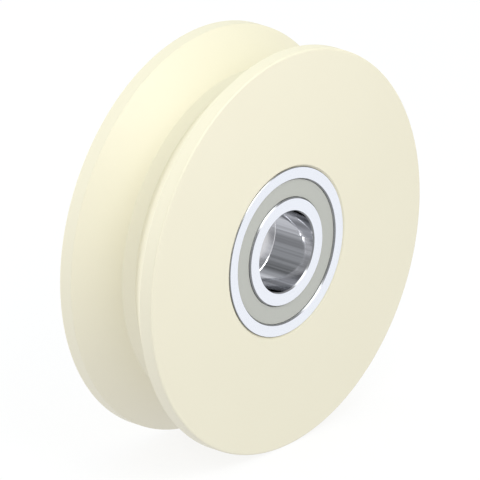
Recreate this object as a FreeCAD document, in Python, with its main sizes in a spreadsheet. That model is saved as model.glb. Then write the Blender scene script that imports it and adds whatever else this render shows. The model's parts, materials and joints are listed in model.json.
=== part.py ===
# A flanged wheel with a V groove, turning on two sealed ball bearings held apart by a sleeve.
# Sizes are in millimetres. +Z is up, the wheel turns about Y, and the origin is the wheel's centre.
# The front face looks along -Y.
import FreeCAD, Part
import Sketcher
import os

SIZES = {
    # wheel body
    "wheel_diameter": 100.0,      # over both flanges
    "land_width": 3.6,            # flat rim of each flange
    "groove_angle": 90.0,         # between the walls of the groove, in degrees
    "root_width": 4.0,            # flat bottom of the groove
    "root_radius": 0.3,           # in the corners of that bottom
    "rim_radius": 0.5,            # where a flange's face meets its rim
    "lip_radius": 0.3,            # where a flange's rim turns into the groove
    "seat_lead_in": 0.5,          # chamfer at the mouth of a bearing seat
    "seat_gap": 0.01,             # between a bearing seat and the ring in it
    "shoulder_height": 2.6,       # of the rib that keeps the bearings apart
    # sleeve between the inner rings
    "spacer_length": 4.6,
    "spacer_wall": 2.6,
    "spacer_gap": 0.1,            # between the axle and the sleeve
    "spacer_chamfer": 0.1,
    # bearing rings
    "bore_diameter": 20.0,
    "bearing_od": 42.0,
    "bearing_width": 12.0,
    "bore_chamfer": 0.3,          # at both ends of the bore
    "ring_chamfer": 0.15,         # on the outer ring's outside edges
    "face_chamfer": 0.3,          # on the rings' face edges beside the seals
    "land_gap": 3.4,              # from the inner ring's land to the outer ring's
    "race_ratio": 0.52,           # radius of a race over the diameter of a ball
    "race_gap": 0.02,             # between a ball and each race
    # seals
    "inner_step": 0.3,            # drop from the inner ring's land to the seal's lip
    "outer_step": 0.7,            # rise from the outer ring's land to its face's edge
    "seal_undercut": 0.4,         # groove behind that edge, which holds the seal
    "seal_recess": 0.45,          # from the rings' faces down to the seal
    "seal_thickness": 0.8,
    "seal_bead_drop": 0.3,        # from the seal's face down to its holding bead
    "seal_lip_thickness": 0.5,
    "seal_lip_length": 0.6,
    "seal_gap": 0.1,              # around a seal
    # balls and cage
    "ball_diameter": 6.35,
    "ball_count": 9,
    "cage_thickness": 0.5,
    "cage_gap": 0.3,              # between the cage and the rings' lands
    "pocket_gap": 0.1,            # between a ball and its pocket
    "rivet_diameter": 1.0,
    "rivet_head_diameter": 1.6,
    "rivet_head_height": 0.35,
    "rivet_gap": 0.03,            # between a rivet and its hole
}

# wheel body: radii, and distances from the wheel's middle plane
HALF_WIDTH = "(Dims.bearing_width + Dims.spacer_length / 2)"
HALF_SPACER = "(Dims.spacer_length / 2)"
HALF_GROOVE = f"({HALF_WIDTH} - Dims.land_width)"
HALF_ROOT = "(Dims.root_width / 2)"
RIM = "(Dims.wheel_diameter / 2)"
ROOT = f"({RIM} - ({HALF_GROOVE} - {HALF_ROOT}) / tan(Dims.groove_angle / 2))"
SEAT = "(Dims.bearing_od / 2 + Dims.seat_gap)"
SHOULDER = "(Dims.bearing_od / 2 - Dims.shoulder_height)"
BEARING_OFFSET = f"({HALF_WIDTH} - Dims.bearing_width / 2)"

# sleeve
SPACER_INSIDE = "(Dims.bore_diameter / 2 + Dims.spacer_gap)"
SPACER_OUTSIDE = f"({SPACER_INSIDE} + Dims.spacer_wall)"

# bearing: radii, and heights from the bearing's own middle plane
BORE = "(Dims.bore_diameter / 2)"
RING_OUTSIDE = "(Dims.bearing_od / 2)"
RING_END = "(Dims.bearing_width / 2)"
BALL_CIRCLE = "((Dims.bore_diameter + Dims.bearing_od) / 4)"
BALL_RADIUS = "(Dims.ball_diameter / 2)"
RACE_RADIUS = "(Dims.race_ratio * Dims.ball_diameter)"
RACE_SHIFT = f"({RACE_RADIUS} - {BALL_RADIUS} - Dims.race_gap)"
INNER_LAND = f"({BALL_CIRCLE} - Dims.land_gap / 2)"
OUTER_LAND = f"({BALL_CIRCLE} + Dims.land_gap / 2)"
INNER_FACE = f"({INNER_LAND} - Dims.inner_step)"
OUTER_FACE = f"({OUTER_LAND} + Dims.outer_step)"

# seal: heights and radii
SEAL_TOP = f"({RING_END} - Dims.seal_recess)"
SEAL_FOOT = f"({SEAL_TOP} - Dims.seal_thickness)"
SEAL_BEAD_TOP = f"({SEAL_TOP} - Dims.seal_bead_drop)"
SEAL_LIP_FOOT = f"({SEAL_TOP} - Dims.seal_lip_thickness)"
SEAL_LIP = f"({INNER_FACE} + Dims.seal_gap)"
SEAL_BACK = f"({SEAL_LIP} + Dims.seal_lip_length)"
SEAL_EDGE = f"({OUTER_FACE} - Dims.seal_gap)"
SEAL_BEAD = f"({SEAL_EDGE} + Dims.seal_undercut)"
UNDERCUT = f"({OUTER_FACE} + Dims.seal_undercut)"
UNDERCUT_TOP = f"({SEAL_BEAD_TOP} + Dims.seal_gap)"
INNER_STEP_TOP = f"({SEAL_FOOT} - Dims.seal_gap)"

# cage
CAGE_INSIDE = f"({INNER_LAND} + Dims.cage_gap)"
CAGE_OUTSIDE = f"({OUTER_LAND} - Dims.cage_gap)"
POCKET_INSIDE = f"({BALL_RADIUS} + Dims.pocket_gap)"
POCKET_OUTSIDE = f"({POCKET_INSIDE} + Dims.cage_thickness)"
POCKET_CLEAR = f"({POCKET_OUTSIDE} + Dims.cage_thickness)"
RIVET_RADIUS = "(Dims.rivet_diameter / 2)"
RIVET_HEAD = "(Dims.rivet_head_diameter / 2)"
RIVET_END = "(Dims.cage_thickness + Dims.rivet_head_height)"
RIVET_TURN = "(180 / Dims.ball_count)"

SAME_PLACE = 1e-4
POLES_ALONG_Y = FreeCAD.Rotation(FreeCAD.Vector(1, 0, 0), -90)

doc = FreeCAD.newDocument("flanged_wheel")
sheet = doc.addObject("Spreadsheet::Sheet", "Dims")
for row, (size_name, size_value) in enumerate(SIZES.items(), 1):
    sheet.set(f"A{row}", size_name)
    sheet.set(f"B{row}", str(size_value))
    sheet.setAlias(f"B{row}", size_name)
doc.recompute()


def value(expression):
    """What an expression over the named sizes comes to now."""
    return float(sheet.evalExpression(expression))


def minus(expression):
    return f"(-{expression})"


def new_body(label):
    body = doc.addObject("PartDesign::Body", label)
    body.Label = label
    return body


def origin_part(body, role):
    """One of a body's own base planes or axes."""
    return next(part for part in body.Origin.OriginFeatures if part.Role == role)


def new_sketch(body, name, plane):
    sketch = body.newObject("Sketcher::SketchObject", name)
    sketch.AttachmentSupport = (origin_part(body, plane), [""])
    sketch.MapMode = "FlatFace"
    return sketch


def hold_point(sketch, line, end, across, up):
    """Tie one end of a sketched line to its two distances from the sketch's origin."""
    for kind, distance in (("DistanceX", across), ("DistanceY", up)):
        number = sketch.addConstraint(Sketcher.Constraint(kind, -1, 1, line, end, value(distance)))
        sketch.setExpression(f"Constraints[{number}]", distance)


def outline(body, name, corners, plane="XY_Plane"):
    """A closed sketch of straight lines through corners, each given as (across, up)."""
    sketch = new_sketch(body, name, plane)
    points = [FreeCAD.Vector(value(across), value(up), 0) for across, up in corners]
    for start, end in zip(points, points[1:] + points[:1]):
        sketch.addGeometry(Part.LineSegment(start, end), False)
    for line in range(len(points)):
        following = (line + 1) % len(points)
        sketch.addConstraint(Sketcher.Constraint("Coincident", line, 2, following, 1))
    for line, (across, up) in enumerate(corners):
        hold_point(sketch, line, 1, across, up)
    return sketch


def circle(body, name, centre, radius):
    """A sketched circle beside the wheel's axis, with its centre given as (radius, height)."""
    sketch = new_sketch(body, name, "XY_Plane")
    middle = FreeCAD.Vector(value(centre[0]), value(centre[1]), 0)
    ring = sketch.addGeometry(Part.Circle(middle, FreeCAD.Vector(0, 0, 1), value(radius)), False)
    hold_point(sketch, ring, 3, *centre)
    number = sketch.addConstraint(Sketcher.Constraint("Radius", ring, value(radius)))
    sketch.setExpression(f"Constraints[{number}]", radius)
    return sketch


def revolve(body, name, sketch, axis="V_Axis"):
    """Turn a sketch once round its axis into a solid."""
    feature = body.newObject("PartDesign::Revolution", name)
    feature.Profile = sketch
    feature.ReferenceAxis = (sketch, [axis])
    feature.Angle = 360
    doc.recompute()
    return feature


def turn_away(body, name, sketch):
    """Cut a sketch, turned once round the wheel's axis, out of a body."""
    before = body.Shape.Volume
    feature = body.newObject("PartDesign::Groove", name)
    feature.Profile = sketch
    feature.ReferenceAxis = (sketch, ["V_Axis"])
    feature.Angle = 360
    doc.recompute()
    if feature.Shape.Volume >= before:
        raise RuntimeError(f"{body.Label}: {name} cuts nothing")
    return feature


def dress(body, kind, name, spots, size_property, size_expression):
    """Round or bevel the circular edges about the wheel's axis at spots, each (radius, height)."""
    base = body.Tip
    places = [(value(radius), value(height)) for radius, height in spots]
    names = []
    for number, edge in enumerate(base.Shape.Edges, 1):
        curve = edge.Curve
        if isinstance(curve, Part.Circle):
            here = any(
                abs(curve.Radius - radius) < SAME_PLACE and abs(curve.Center.y - height) < SAME_PLACE
                for radius, height in places
            )
            if here:
                names.append(f"Edge{number}")
    if len(names) != len(spots):
        raise RuntimeError(f"{body.Label}: {name} finds {len(names)} edges of {len(spots)}")
    feature = body.newObject(kind, name)
    feature.Base = (base, names)
    feature.setExpression(size_property, size_expression)
    doc.recompute()
    return feature


def fillet(body, name, spots, radius):
    return dress(body, "PartDesign::Fillet", name, spots, "Radius", radius)


def chamfer(body, name, spots, size):
    return dress(body, "PartDesign::Chamfer", name, spots, "Size", size)


def both_sides(radius, height):
    return [(radius, height), (radius, minus(height))]


def repeat_round(body, name, feature):
    """Repeat a feature of a body at every ball's step round the wheel's axis."""
    pattern = body.newObject("PartDesign::PolarPattern", name)
    pattern.Originals = [feature]
    pattern.Axis = (origin_part(body, "Y_Axis"), [""])
    pattern.Angle = 360
    pattern.setExpression("Occurrences", "Dims.ball_count")
    pattern.Refine = False  # merging faces here would lose the pockets that cross the ring's seam
    body.Tip = pattern
    doc.recompute()
    return pattern


def seat_in_wheel(piece, side, turn=0, axis=FreeCAD.Vector(0, 0, 1)):
    """Move a piece drawn about its bearing's centre to the front (-1) or rear (1) bearing."""
    piece.Placement = FreeCAD.Placement(FreeCAD.Vector(), FreeCAD.Rotation(axis, turn))
    piece.setExpression("Placement.Base.y", f"{side} * {BEARING_OFFSET}")


def make_wheel_body():
    """The turned plastic wheel: two flanges, a flat-bottomed V groove, and a bearing seat in each face."""
    body = new_body("wheel_body")
    section = [
        (SHOULDER, minus(HALF_SPACER)),
        (SEAT, minus(HALF_SPACER)),
        (SEAT, minus(HALF_WIDTH)),
        (RIM, minus(HALF_WIDTH)),
        (RIM, minus(HALF_GROOVE)),
        (ROOT, minus(HALF_ROOT)),
        (ROOT, HALF_ROOT),
        (RIM, HALF_GROOVE),
        (RIM, HALF_WIDTH),
        (SEAT, HALF_WIDTH),
        (SEAT, HALF_SPACER),
        (SHOULDER, HALF_SPACER),
    ]
    revolve(body, "TurnedWheel", outline(body, "WheelSection", section))
    fillet(body, "GrooveCorners", both_sides(ROOT, HALF_ROOT), "Dims.root_radius")
    fillet(body, "RimEdges", both_sides(RIM, HALF_WIDTH), "Dims.rim_radius")
    fillet(body, "GrooveLips", both_sides(RIM, HALF_GROOVE), "Dims.lip_radius")
    chamfer(body, "SeatLeadIns", both_sides(SEAT, HALF_WIDTH), "Dims.seat_lead_in")
    return body


def make_spacer_sleeve():
    """The plain tube that keeps the two inner rings apart."""
    body = new_body("spacer_sleeve")
    section = [
        (SPACER_INSIDE, minus(HALF_SPACER)),
        (SPACER_OUTSIDE, minus(HALF_SPACER)),
        (SPACER_OUTSIDE, HALF_SPACER),
        (SPACER_INSIDE, HALF_SPACER),
    ]
    revolve(body, "Tube", outline(body, "TubeSection", section))
    ends = both_sides(SPACER_INSIDE, HALF_SPACER) + both_sides(SPACER_OUTSIDE, HALF_SPACER)
    chamfer(body, "TubeEnds", ends, "Dims.spacer_chamfer")
    return body


def make_outer_ring(label, side):
    """The ring pressed into the wheel, with a ball race and a seal groove at each end."""
    body = new_body(label)
    upper = [
        (RING_OUTSIDE, RING_END),
        (OUTER_FACE, RING_END),
        (OUTER_FACE, UNDERCUT_TOP),
        (UNDERCUT, UNDERCUT_TOP),
        (UNDERCUT, SEAL_FOOT),
        (OUTER_LAND, SEAL_FOOT),
    ]
    lower = [(radius, minus(height)) for radius, height in reversed(upper)]
    revolve(body, "TurnedRing", outline(body, "RingSection", upper + lower))
    race = (f"({BALL_CIRCLE} - {RACE_SHIFT})", "0")
    turn_away(body, "Race", circle(body, "RaceSection", race, RACE_RADIUS))
    chamfer(body, "OutsideEdges", both_sides(RING_OUTSIDE, RING_END), "Dims.ring_chamfer")
    chamfer(body, "FaceEdges", both_sides(OUTER_FACE, RING_END), "Dims.face_chamfer")
    seat_in_wheel(body, side)
    return body


def make_inner_ring(label, side):
    """The ring that stands still on the axle, with a ball race and a step for each seal's lip."""
    body = new_body(label)
    upper = [
        (INNER_LAND, INNER_STEP_TOP),
        (INNER_FACE, INNER_STEP_TOP),
        (INNER_FACE, RING_END),
        (BORE, RING_END),
    ]
    lower = [(radius, minus(height)) for radius, height in reversed(upper)]
    revolve(body, "TurnedRing", outline(body, "RingSection", upper + lower))
    race = (f"({BALL_CIRCLE} + {RACE_SHIFT})", "0")
    turn_away(body, "Race", circle(body, "RaceSection", race, RACE_RADIUS))
    chamfer(body, "BoreEnds", both_sides(BORE, RING_END), "Dims.bore_chamfer")
    chamfer(body, "FaceEdges", both_sides(INNER_FACE, RING_END), "Dims.face_chamfer")
    seat_in_wheel(body, side)
    return body


def make_seal(label, side, flipped):
    """A rubber seal: a flat disc, a bead held by the outer ring and a thin lip at the inner ring."""
    body = new_body(label)
    section = [
        (SEAL_LIP, SEAL_TOP),
        (SEAL_EDGE, SEAL_TOP),
        (SEAL_EDGE, SEAL_BEAD_TOP),
        (SEAL_BEAD, SEAL_BEAD_TOP),
        (SEAL_BEAD, SEAL_FOOT),
        (SEAL_BACK, SEAL_FOOT),
        (SEAL_BACK, SEAL_LIP_FOOT),
        (SEAL_LIP, SEAL_LIP_FOOT),
    ]
    revolve(body, "MouldedSeal", outline(body, "SealSection", section))
    seat_in_wheel(body, side, 180 if flipped else 0)
    return body


def make_ball(label, side, number):
    ball = doc.addObject("Part::Sphere", label)
    ball.Label = label
    ball.setExpression("Radius", BALL_RADIUS)
    angle = f"({number} * 360 / Dims.ball_count)"
    ball.setExpression("Placement.Base.x", f"{BALL_CIRCLE} * sin({angle})")
    ball.setExpression("Placement.Base.y", f"{side} * {BEARING_OFFSET}")
    ball.setExpression("Placement.Base.z", f"{BALL_CIRCLE} * cos({angle})")
    return ball


def make_cage_half(label, side, flipped):
    """Half of a pressed ribbon cage: a flat ring with a round pocket over each ball, the first on top."""
    body = new_body(label)
    web = [
        (CAGE_INSIDE, "0"),
        (CAGE_OUTSIDE, "0"),
        (CAGE_OUTSIDE, "Dims.cage_thickness"),
        (CAGE_INSIDE, "Dims.cage_thickness"),
    ]
    revolve(body, "Web", outline(body, "WebSection", web))
    for kind, name, radius in (
        ("PartDesign::AdditiveSphere", "PocketOutside", POCKET_OUTSIDE),
        ("PartDesign::SubtractiveSphere", "PocketInside", POCKET_INSIDE),
    ):
        pocket = body.newObject(kind, name)
        pocket.Placement = FreeCAD.Placement(FreeCAD.Vector(), POLES_ALONG_Y)
        pocket.setExpression("Radius", radius)
        pocket.setExpression("Placement.Base.z", BALL_CIRCLE)
        pocket.Refine = False
        doc.recompute()
        repeat_round(body, f"{name}s", pocket)
    within = f"({BALL_CIRCLE} - {POCKET_CLEAR})"
    beyond = f"({BALL_CIRCLE} + {POCKET_CLEAR})"
    waste = [
        (within, minus(POCKET_CLEAR)),
        (beyond, minus(POCKET_CLEAR)),
        (beyond, POCKET_CLEAR),
        (CAGE_OUTSIDE, POCKET_CLEAR),
        (CAGE_OUTSIDE, "0"),
        (CAGE_INSIDE, "0"),
        (CAGE_INSIDE, POCKET_CLEAR),
        (within, POCKET_CLEAR),
    ]
    turn_away(body, "Trim", outline(body, "TrimSection", waste))
    hole = body.newObject("PartDesign::SubtractiveCylinder", "RivetHole")
    hole.Placement = FreeCAD.Placement(FreeCAD.Vector(), POLES_ALONG_Y)
    hole.setExpression("Radius", f"{RIVET_RADIUS} + Dims.rivet_gap")
    hole.setExpression("Height", "2 * Dims.cage_thickness")
    hole.setExpression("Placement.Base.x", f"{BALL_CIRCLE} * sin({RIVET_TURN})")
    hole.setExpression("Placement.Base.y", "-Dims.cage_thickness / 2")
    hole.setExpression("Placement.Base.z", f"{BALL_CIRCLE} * cos({RIVET_TURN})")
    doc.recompute()
    repeat_round(body, "RivetHoles", hole)
    seat_in_wheel(body, side, 180 if flipped else 0)
    return body


def make_cage_rivets(label, side):
    """The rivets between the balls, each headed at both ends: separate solids in one group."""
    body = new_body(label)
    body.AllowCompound = True
    upper = [
        (minus(RIVET_END), RIVET_RADIUS),
        (minus("Dims.cage_thickness"), RIVET_HEAD),
        (minus("Dims.cage_thickness"), RIVET_RADIUS),
        ("Dims.cage_thickness", RIVET_RADIUS),
        ("Dims.cage_thickness", RIVET_HEAD),
        (RIVET_END, RIVET_RADIUS),
    ]
    section = [(minus(RIVET_END), BALL_CIRCLE)]
    section += [(height, f"({BALL_CIRCLE} + {radius})") for height, radius in upper]
    section += [(RIVET_END, BALL_CIRCLE)]
    sketch = outline(body, "RivetSection", section, "YZ_Plane")
    start = FreeCAD.Vector(value(minus(RIVET_END)), value(BALL_CIRCLE), 0)
    end = FreeCAD.Vector(value(RIVET_END), value(BALL_CIRCLE), 0)
    middle = sketch.addGeometry(Part.LineSegment(start, end), True)
    hold_point(sketch, middle, 1, minus(RIVET_END), BALL_CIRCLE)
    hold_point(sketch, middle, 2, RIVET_END, BALL_CIRCLE)
    rivet = revolve(body, "Rivet", sketch, "Axis0")
    repeat_round(body, "Rivets", rivet)
    seat_in_wheel(body, side, value(RIVET_TURN), FreeCAD.Vector(0, 1, 0))
    body.setExpression("Placement.Rotation.Angle", RIVET_TURN)
    return body


def make_bearing(place, side):
    """One sealed ball bearing. Its outboard side is the wheel's face, and +Y is outboard at the rear."""
    pieces = [
        make_outer_ring(f"{place}_outer_ring", side),
        make_inner_ring(f"{place}_inner_ring", side),
        make_cage_rivets(f"{place}_cage_rivets", side),
    ]
    for facing, flipped in (("outboard", side < 0), ("inboard", side > 0)):
        pieces.append(make_seal(f"{place}_{facing}_seal", side, flipped))
        pieces.append(make_cage_half(f"{place}_{facing}_cage_half", side, flipped))
    for number in range(SIZES["ball_count"]):
        pieces.append(make_ball(f"{place}_ball_{number + 1}", side, number))
    return pieces


sub_parts = [make_wheel_body(), make_spacer_sleeve()]
for bearing_place, bearing_side in (("front", -1), ("rear", 1)):
    sub_parts += make_bearing(bearing_place, bearing_side)
doc.recompute()

for item in doc.Objects:
    if "Invalid" in item.State or "Error" in item.State:
        raise RuntimeError(f"{item.Label}: {item.State}")
for item in sub_parts:
    wanted = SIZES["ball_count"] if item.Label.endswith("_rivets") else 1
    shape = item.Shape
    if shape.isNull() or not shape.isValid() or len(shape.Solids) != wanted:
        raise RuntimeError(f"{item.Label}: not {wanted} sound solids")

os.makedirs("parts", exist_ok=True)
for item in sub_parts:
    item.Shape.exportStep(f"parts/{item.Label}.step")
    print(f"{item.Label}: {item.Shape.Volume:.2f} mm3")
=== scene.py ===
# The looks of a flanged wheel with a V groove: turned cream nylon on two polished, sealed ball bearings.
# Lengths are in metres, in the part's own frame: +Z up, the axle along Y, the front face towards -Y.
import bpy
import json
import math
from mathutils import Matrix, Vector

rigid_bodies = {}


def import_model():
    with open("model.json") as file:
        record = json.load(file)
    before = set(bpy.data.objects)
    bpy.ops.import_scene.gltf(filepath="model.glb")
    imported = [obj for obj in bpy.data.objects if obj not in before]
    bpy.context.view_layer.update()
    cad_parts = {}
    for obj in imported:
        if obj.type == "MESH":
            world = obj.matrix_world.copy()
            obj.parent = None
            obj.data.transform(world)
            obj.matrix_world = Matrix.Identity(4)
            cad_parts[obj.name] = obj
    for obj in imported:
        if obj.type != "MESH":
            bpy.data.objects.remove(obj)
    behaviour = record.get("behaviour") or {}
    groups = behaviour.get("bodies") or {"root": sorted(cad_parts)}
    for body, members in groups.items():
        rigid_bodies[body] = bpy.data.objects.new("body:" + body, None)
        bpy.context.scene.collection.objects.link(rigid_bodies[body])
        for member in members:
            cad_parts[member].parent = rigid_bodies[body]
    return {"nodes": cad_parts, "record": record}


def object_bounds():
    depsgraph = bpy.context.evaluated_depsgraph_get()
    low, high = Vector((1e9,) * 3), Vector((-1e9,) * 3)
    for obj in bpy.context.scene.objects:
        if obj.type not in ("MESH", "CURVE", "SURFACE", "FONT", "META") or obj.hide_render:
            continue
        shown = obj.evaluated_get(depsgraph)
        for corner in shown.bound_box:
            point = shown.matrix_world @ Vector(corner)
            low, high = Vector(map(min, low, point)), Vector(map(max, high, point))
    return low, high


MM = 0.001

# the photograph's view
AZIMUTH = -50.0                     # degrees round the wheel from its front face
ELEVATION = 22.0                    # degrees above the floor
FACE_CENTRE_RIGHT = 11.16 * MM      # from the picture's centre to the centre of the front face
FACE_CENTRE_DOWN = 2.88 * MM
VIEW_WIDTH = 114.27 * MM            # width of the picture at the wheel
LENS = 1500.0                       # in millimetres: long, so that the view has next to no perspective
SENSOR = 36.0
FARTHEST_SEEN = 100.0

# light of the studio
WHITE = (1.0, 1.0, 1.0)
ZENITH = (0.75, 0.81, 0.84)
HORIZON = (1.27, 1.255, 1.215)
BELOW = (0.77, 0.785, 0.88)         # light that a pale floor sends up
WARM = (1.0, 0.98, 0.955)
COOL = (0.885, 0.90, 1.0)
SOFTBOX_AT = (-0.06, -0.16, 0.19)   # close to the front face, which is brightest towards it
SOFTBOX_SIZE = 0.16
SOFTBOX_POWER = 0.155
RIM_LIGHT_AT = (-0.22, 0.76, 0.16)  # behind the wheel, for the groove's front wall
RIM_LIGHT_SIZE = 0.30
RIM_LIGHT_POWER = 1.95
GLINT_AT = (0.0, -0.17, 0.195)      # shows in gloss alone, above all along the bevels of the rings
GLINT_SIZE = 0.19
GLINT_POWER = 0.40

# floor
FLOOR_COLOUR = (0.97, 0.97, 0.97)
FLOOR_SHADE = 0.22                  # share of its own light and shadow that shows, under plain white
FLOOR_RADIUS = 6.0
FLOOR_SIDES = 96

# turned nylon
CREAM = (0.82, 0.778, 0.598)
CREAM_CLOUD = (0.805, 0.760, 0.578)
CLOUD_SIZE = 22 * MM
NYLON_ROUGHNESS = (0.54, 0.66)
NYLON_GRAIN = 1.2 * MM
NYLON_IOR = 1.53
NYLON_MARK_PITCH = 0.35 * MM        # from one turning mark to the next
NYLON_MARK_DEPTH = 0.002 * MM

# ring steel
STEEL_FACE = (0.83, 0.855, 0.922)
# painted reflections and shade: the bore and walls are darker than the faces, in dark and light stripes,
# for what polished steel would mirror
WALL_PAINTED_REFLECTION_DARK = (0.28, 0.285, 0.295)
WALL_PAINTED_REFLECTION_LIGHT = (0.78, 0.79, 0.82)
# painted dark reflection: the outer bevels are dark, as if they mirrored dark surroundings
BEVEL_PAINTED_DARK_REFLECTION = (0.22, 0.225, 0.235)
INNER_BEVEL_PAINTED_REFLECTION = (0.82, 0.82, 0.85)  # where a ring's bore meets the sleeve: pale, a painted bright reflection
INBOARD_END = 4 * MM                # the rings' inner ends lie nearer than this to the wheel's middle
FACE_LEAN = 0.95                    # a face's normal has more than this along the axle
BEVEL_LEAN = 0.50                   # and a bevel's more than this
WALL_ROUGHNESS = 0.06
FACE_ROUGHNESS = 0.20
STEEL_MARK_PITCH = 0.12 * MM
STEEL_MARK_DEPTH = 0.0002 * MM
LATHE_LEAN = 0.37                   # marks along the axle, for each mark in the same length of a face
REFLECTION_STRIPES = 3.0                       # broad stripes of painted reflection round the bore
REFLECTION_STRIPE_TURN = math.radians(-55.0)
REFLECTION_STRIPE_SWING = 0.22                 # how much the broad stripes add to the fine ones
FINE_REFLECTION_STRIPE_SCALE = 6.0             # of the noise that draws the fine stripes
FINE_REFLECTION_STRIPE_DETAIL = 3.0
FINE_REFLECTION_STRIPE_SEED = 186.5
REFLECTION_STRIPE_RANGE = (0.18, 0.84)         # their sum at the darkest stripe and at the lightest

# the other steels: colour, roughness from and to, size of the patches that it wanders over
BALL_STEEL = ((0.78, 0.79, 0.82), 0.03, 0.08, 2 * MM)
CAGE_STEEL = ((0.56, 0.55, 0.52), 0.28, 0.42, 0.4 * MM)
SLEEVE_STEEL = ((0.66, 0.66, 0.68), 0.10, 0.16, 0.6 * MM)

# seal rubber
SEAL_GREY = (0.493, 0.50, 0.448)
SEAL_SHADE = (0.463, 0.47, 0.418)
SEAL_GRAIN = 0.25 * MM
SEAL_GRAIN_DEPTH = 0.01 * MM
SEAL_ROUGHNESS = 0.7

# octaves of the clouds and grains
CLOUD_DETAIL = 2.0
SEAL_DETAIL = 3.0
GRAIN_DETAIL = 4.0

# the default scene's own things go
for item in list(bpy.data.objects):
    bpy.data.objects.remove(item)
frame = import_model()
cad_low, cad_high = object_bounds()


def add_node(tree, kind, **settings):
    node = tree.nodes.new(kind)
    for name, value in settings.items():
        setattr(node, name, value)
    return node


def feed(tree, socket, value):
    """Link another node's output to a socket, or set the socket to a plain value."""
    if isinstance(value, bpy.types.NodeSocket):
        tree.links.new(value, socket)
    else:
        socket.default_value = value


def calculate(tree, operation, *values):
    node = add_node(tree, "ShaderNodeMath", operation=operation)
    for socket, value in zip(node.inputs, values):
        feed(tree, socket, value)
    return node.outputs[0]


def spread(tree, value, low, high, start=0.0, end=1.0):
    """Stretch a value from start to end over low to high."""
    node = add_node(tree, "ShaderNodeMapRange")
    feed(tree, node.inputs["Value"], value)
    node.inputs["From Min"].default_value = start
    node.inputs["From Max"].default_value = end
    node.inputs["To Min"].default_value = low
    node.inputs["To Max"].default_value = high
    return node.outputs["Result"]


def blend_colours(tree, share, first, second):
    """The first colour where share is 0, and the second where it is 1."""
    node = add_node(tree, "ShaderNodeMix", data_type="RGBA")
    feed(tree, node.inputs[0], share)
    for socket, colour in ((node.inputs[6], first), (node.inputs[7], second)):
        feed(tree, socket, colour if isinstance(colour, bpy.types.NodeSocket) else (*colour, 1.0))
    return node.outputs[2]


def coordinates(tree, kind):
    """A texture coordinate's three parts: Object is a point's place, Generated the sky's direction."""
    place = add_node(tree, "ShaderNodeTexCoord")
    split = add_node(tree, "ShaderNodeSeparateXYZ")
    tree.links.new(place.outputs[kind], split.inputs[0])
    return split.outputs


def noise(tree, size, detail):
    """Even random cloud from 0 to 1, with features of about the given size."""
    place = add_node(tree, "ShaderNodeTexCoord")
    cloud = add_node(tree, "ShaderNodeTexNoise")
    cloud.inputs["Scale"].default_value = 1.0 / size
    cloud.inputs["Detail"].default_value = detail
    tree.links.new(place.outputs["Object"], cloud.inputs["Vector"])
    return cloud.outputs[0]


def painted_reflection_stripes(tree):
    """Painted reflections from 0 to 1: stripes along the axle, as a polished bore mirrors its
    surroundings, broad ones with fine ones over them.
    """
    across, _, up = coordinates(tree, "Object")
    angle = calculate(tree, "ARCTAN2", up, across)
    broad = calculate(tree, "COSINE", calculate(tree, "MULTIPLY_ADD", angle, REFLECTION_STRIPES, REFLECTION_STRIPE_TURN))
    flat = add_node(tree, "ShaderNodeCombineXYZ")
    tree.links.new(across, flat.inputs["X"])
    tree.links.new(up, flat.inputs["Z"])
    outward = add_node(tree, "ShaderNodeVectorMath", operation="NORMALIZE")
    tree.links.new(flat.outputs[0], outward.inputs[0])
    fine = add_node(tree, "ShaderNodeTexNoise", noise_dimensions="4D")
    fine.inputs["W"].default_value = FINE_REFLECTION_STRIPE_SEED
    fine.inputs["Scale"].default_value = FINE_REFLECTION_STRIPE_SCALE
    fine.inputs["Detail"].default_value = FINE_REFLECTION_STRIPE_DETAIL
    tree.links.new(outward.outputs[0], fine.inputs["Vector"])
    mixed = calculate(tree, "MULTIPLY_ADD", broad, REFLECTION_STRIPE_SWING, fine.outputs[0])
    return spread(tree, mixed, 0.0, 1.0, *REFLECTION_STRIPE_RANGE)


def facing_axle(tree, limit):
    """1 where a surface's normal leans to the axle's axis by more than the limit, and 0 elsewhere."""
    along = coordinates(tree, "Normal")[1]
    return calculate(tree, "GREATER_THAN", calculate(tree, "ABSOLUTE", along), limit)


def lathe_marks(tree, pitch):
    """Fine ridges round the axle from 0 to 1, on end faces, cones and round walls alike."""
    across, along, up = coordinates(tree, "Object")
    squares = calculate(tree, "ADD", calculate(tree, "MULTIPLY", across, across),
                        calculate(tree, "MULTIPLY", up, up))
    radius = calculate(tree, "SQRT", squares)
    travel = calculate(tree, "ADD", radius, calculate(tree, "MULTIPLY", along, LATHE_LEAN))
    wave = calculate(tree, "SINE", calculate(tree, "MULTIPLY", travel, 2 * math.pi / pitch))
    return calculate(tree, "MULTIPLY_ADD", wave, 0.5, 0.5)


def bump(tree, shader, height, depth):
    node = add_node(tree, "ShaderNodeBump")
    node.inputs["Distance"].default_value = depth
    node.inputs["Strength"].default_value = 1.0
    feed(tree, node.inputs["Height"], height)
    tree.links.new(node.outputs[0], shader.inputs["Normal"])


def new_material(name):
    material = bpy.data.materials.new(name)
    material.use_nodes = True
    return material, material.node_tree, material.node_tree.nodes["Principled BSDF"]


def nylon():
    """Turned cast nylon: satin cream with faint clouds and fine turning marks."""
    material, tree, shader = new_material("nylon_cream")
    cream = blend_colours(tree, noise(tree, CLOUD_SIZE, CLOUD_DETAIL), CREAM, CREAM_CLOUD)
    roughness = spread(tree, noise(tree, NYLON_GRAIN, GRAIN_DETAIL), *NYLON_ROUGHNESS)
    feed(tree, shader.inputs["Base Color"], cream)
    feed(tree, shader.inputs["Roughness"], roughness)
    shader.inputs["IOR"].default_value = NYLON_IOR
    bump(tree, shader, lathe_marks(tree, NYLON_MARK_PITCH), NYLON_MARK_DEPTH)
    return material


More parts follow.
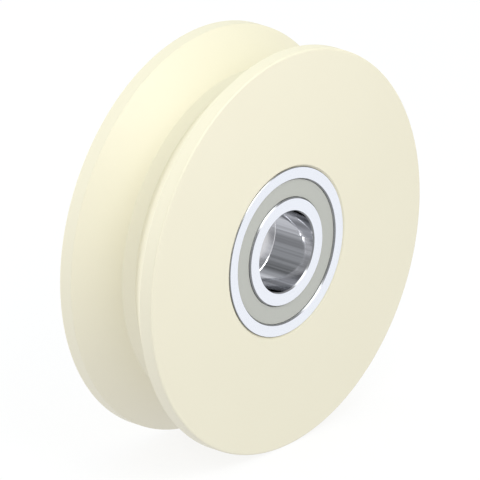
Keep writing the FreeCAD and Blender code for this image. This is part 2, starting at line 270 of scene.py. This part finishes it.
def ring_steel():
    """Bearing rings: bright ground faces, bore and walls darker in painted reflection stripes, dark outer
    bevels and pale inner ones as painted reflections.
    """
    material, tree, shader = new_material("ring_steel_polished")
    face = facing_axle(tree, FACE_LEAN)
    bevel_or_face = facing_axle(tree, BEVEL_LEAN)
    along = coordinates(tree, "Object")[1]
    inboard = calculate(tree, "LESS_THAN", calculate(tree, "ABSOLUTE", along), INBOARD_END)
    # painted reflections and shade: stripes on the bore and walls, a dark colour on the outer bevels and
    # a pale one at the sleeve
    wall = blend_colours(tree, painted_reflection_stripes(tree), WALL_PAINTED_REFLECTION_DARK, WALL_PAINTED_REFLECTION_LIGHT)
    bevel = blend_colours(tree, inboard, BEVEL_PAINTED_DARK_REFLECTION, INNER_BEVEL_PAINTED_REFLECTION)
    side = blend_colours(tree, bevel_or_face, wall, bevel)
    feed(tree, shader.inputs["Base Color"], blend_colours(tree, face, side, STEEL_FACE))
    feed(tree, shader.inputs["Roughness"], spread(tree, bevel_or_face, WALL_ROUGHNESS, FACE_ROUGHNESS))
    shader.inputs["Metallic"].default_value = 1.0
    bump(tree, shader, lathe_marks(tree, STEEL_MARK_PITCH), STEEL_MARK_DEPTH)
    return material


def plain_steel(name, colour, low, high, grain):
    """Bare steel whose roughness wanders between low and high over patches of a grain's size."""
    material, tree, shader = new_material(name)
    shader.inputs["Base Color"].default_value = (*colour, 1.0)
    shader.inputs["Metallic"].default_value = 1.0
    feed(tree, shader.inputs["Roughness"], spread(tree, noise(tree, grain, GRAIN_DETAIL), low, high))
    return material


def seal_rubber():
    """Moulded rubber: matte grey-green with a fine even grain."""
    material, tree, shader = new_material("seal_rubber_grey")
    grain = noise(tree, SEAL_GRAIN, SEAL_DETAIL)
    feed(tree, shader.inputs["Base Color"], blend_colours(tree, grain, SEAL_GREY, SEAL_SHADE))
    shader.inputs["Roughness"].default_value = SEAL_ROUGHNESS
    bump(tree, shader, grain, SEAL_GRAIN_DEPTH)
    return material


def dress_nodes():
    """Give every piece the material of its slot in the record."""
    materials = {
        "nylon": nylon(),
        "bearing_steel": ring_steel(),
        "ball_steel": plain_steel("ball_steel_mirror", *BALL_STEEL),
        "cage_steel": plain_steel("cage_steel_pressed", *CAGE_STEEL),
        "sleeve_steel": plain_steel("sleeve_steel_turned", *SLEEVE_STEEL),
        "seal_rubber": seal_rubber(),
    }
    for part in frame["record"]["subparts"]:
        frame["nodes"][part["node"]].material_slots[0].material = materials[part["material_slot"]]


def seen_directly(tree):
    """1 for rays from the camera, a mirror or glass, and 0 for the light that falls on things."""
    path = add_node(tree, "ShaderNodeLightPath")
    seen = calculate(tree, "MAXIMUM", path.outputs["Is Camera Ray"], path.outputs["Is Glossy Ray"])
    return calculate(tree, "MAXIMUM", seen, path.outputs["Is Transmission Ray"])


def make_world():
    """Soft light from all round, strongest from the sides, and plain white where it is seen."""
    world = bpy.data.worlds.new("studio")
    world.use_nodes = True
    tree = world.node_tree
    height = coordinates(tree, "Generated")[2]
    sky = blend_colours(tree, spread(tree, height, 0.0, 1.0), HORIZON, ZENITH)
    light = blend_colours(tree, calculate(tree, "LESS_THAN", height, 0.0), sky, BELOW)
    colour = blend_colours(tree, seen_directly(tree), light, WHITE)
    feed(tree, tree.nodes["Background"].inputs["Color"], colour)
    bpy.context.scene.world = world


def make_floor():
    """A pale floor under the wheel: mostly plain white, with a share of the wheel's soft shadow."""
    bpy.ops.mesh.primitive_circle_add(vertices=FLOOR_SIDES, radius=FLOOR_RADIUS, fill_type="NGON",
                                      location=(0.0, 0.0, cad_low.z))
    floor = bpy.context.object
    floor.name = "floor"
    material, tree, shader = new_material("floor_pale")
    shader.inputs["Base Color"].default_value = (*FLOOR_COLOUR, 1.0)
    shader.inputs["Roughness"].default_value = 1.0
    shader.inputs["Specular IOR Level"].default_value = 0.0
    glow = add_node(tree, "ShaderNodeEmission")
    mix = add_node(tree, "ShaderNodeMixShader")
    mix.inputs[0].default_value = 1.0 - FLOOR_SHADE
    tree.links.new(shader.outputs[0], mix.inputs[1])
    tree.links.new(glow.outputs[0], mix.inputs[2])
    tree.links.new(mix.outputs[0], tree.nodes["Material Output"].inputs["Surface"])
    floor.data.materials.append(material)
    floor.visible_diffuse = False  # the world's light from below takes the place of what it would send up


def add_lamp(name, place, size, power, colour, lights_all=True):
    """A round softbox that faces the wheel, unseen by the camera. It may light gloss alone."""
    lamp = bpy.data.lights.new(name, "AREA")
    lamp.shape = "DISK"
    lamp.size = size
    lamp.energy = power
    lamp.color = colour
    box = bpy.data.objects.new(name, lamp)
    box.location = place
    box.rotation_euler = (-box.location).to_track_quat("-Z", "Y").to_euler()
    box.visible_camera = False
    box.visible_diffuse = lights_all
    bpy.context.scene.collection.objects.link(box)


def make_camera():
    """Look at the wheel as the photograph does."""
    turn = math.radians(AZIMUTH)
    rise = math.radians(ELEVATION)
    back = Vector((math.sin(turn) * math.cos(rise), -math.cos(turn) * math.cos(rise), math.sin(rise)))
    right = Vector((math.cos(turn), math.sin(turn), 0.0))
    up = back.cross(right)
    face_centre = Vector((0.0, cad_low.y, 0.0))
    target = face_centre - right * FACE_CENTRE_RIGHT + up * FACE_CENTRE_DOWN
    camera = bpy.data.objects.new("camera", bpy.data.cameras.new("camera"))
    camera.data.lens = LENS
    camera.data.sensor_width = SENSOR
    camera.data.clip_end = FARTHEST_SEEN
    camera.location = target + back * (VIEW_WIDTH * LENS / SENSOR)
    camera.rotation_euler = (-back).to_track_quat("-Z", "Y").to_euler()
    bpy.context.scene.collection.objects.link(camera)
    bpy.context.scene.camera = camera


dress_nodes()
make_world()
make_floor()
add_lamp("softbox", SOFTBOX_AT, SOFTBOX_SIZE, SOFTBOX_POWER, WARM)
add_lamp("rim_light", RIM_LIGHT_AT, RIM_LIGHT_SIZE, RIM_LIGHT_POWER, COOL)
add_lamp("glint", GLINT_AT, GLINT_SIZE, GLINT_POWER, WHITE, lights_all=False)
make_camera()
bpy.context.scene.view_settings.view_transform = "Standard"
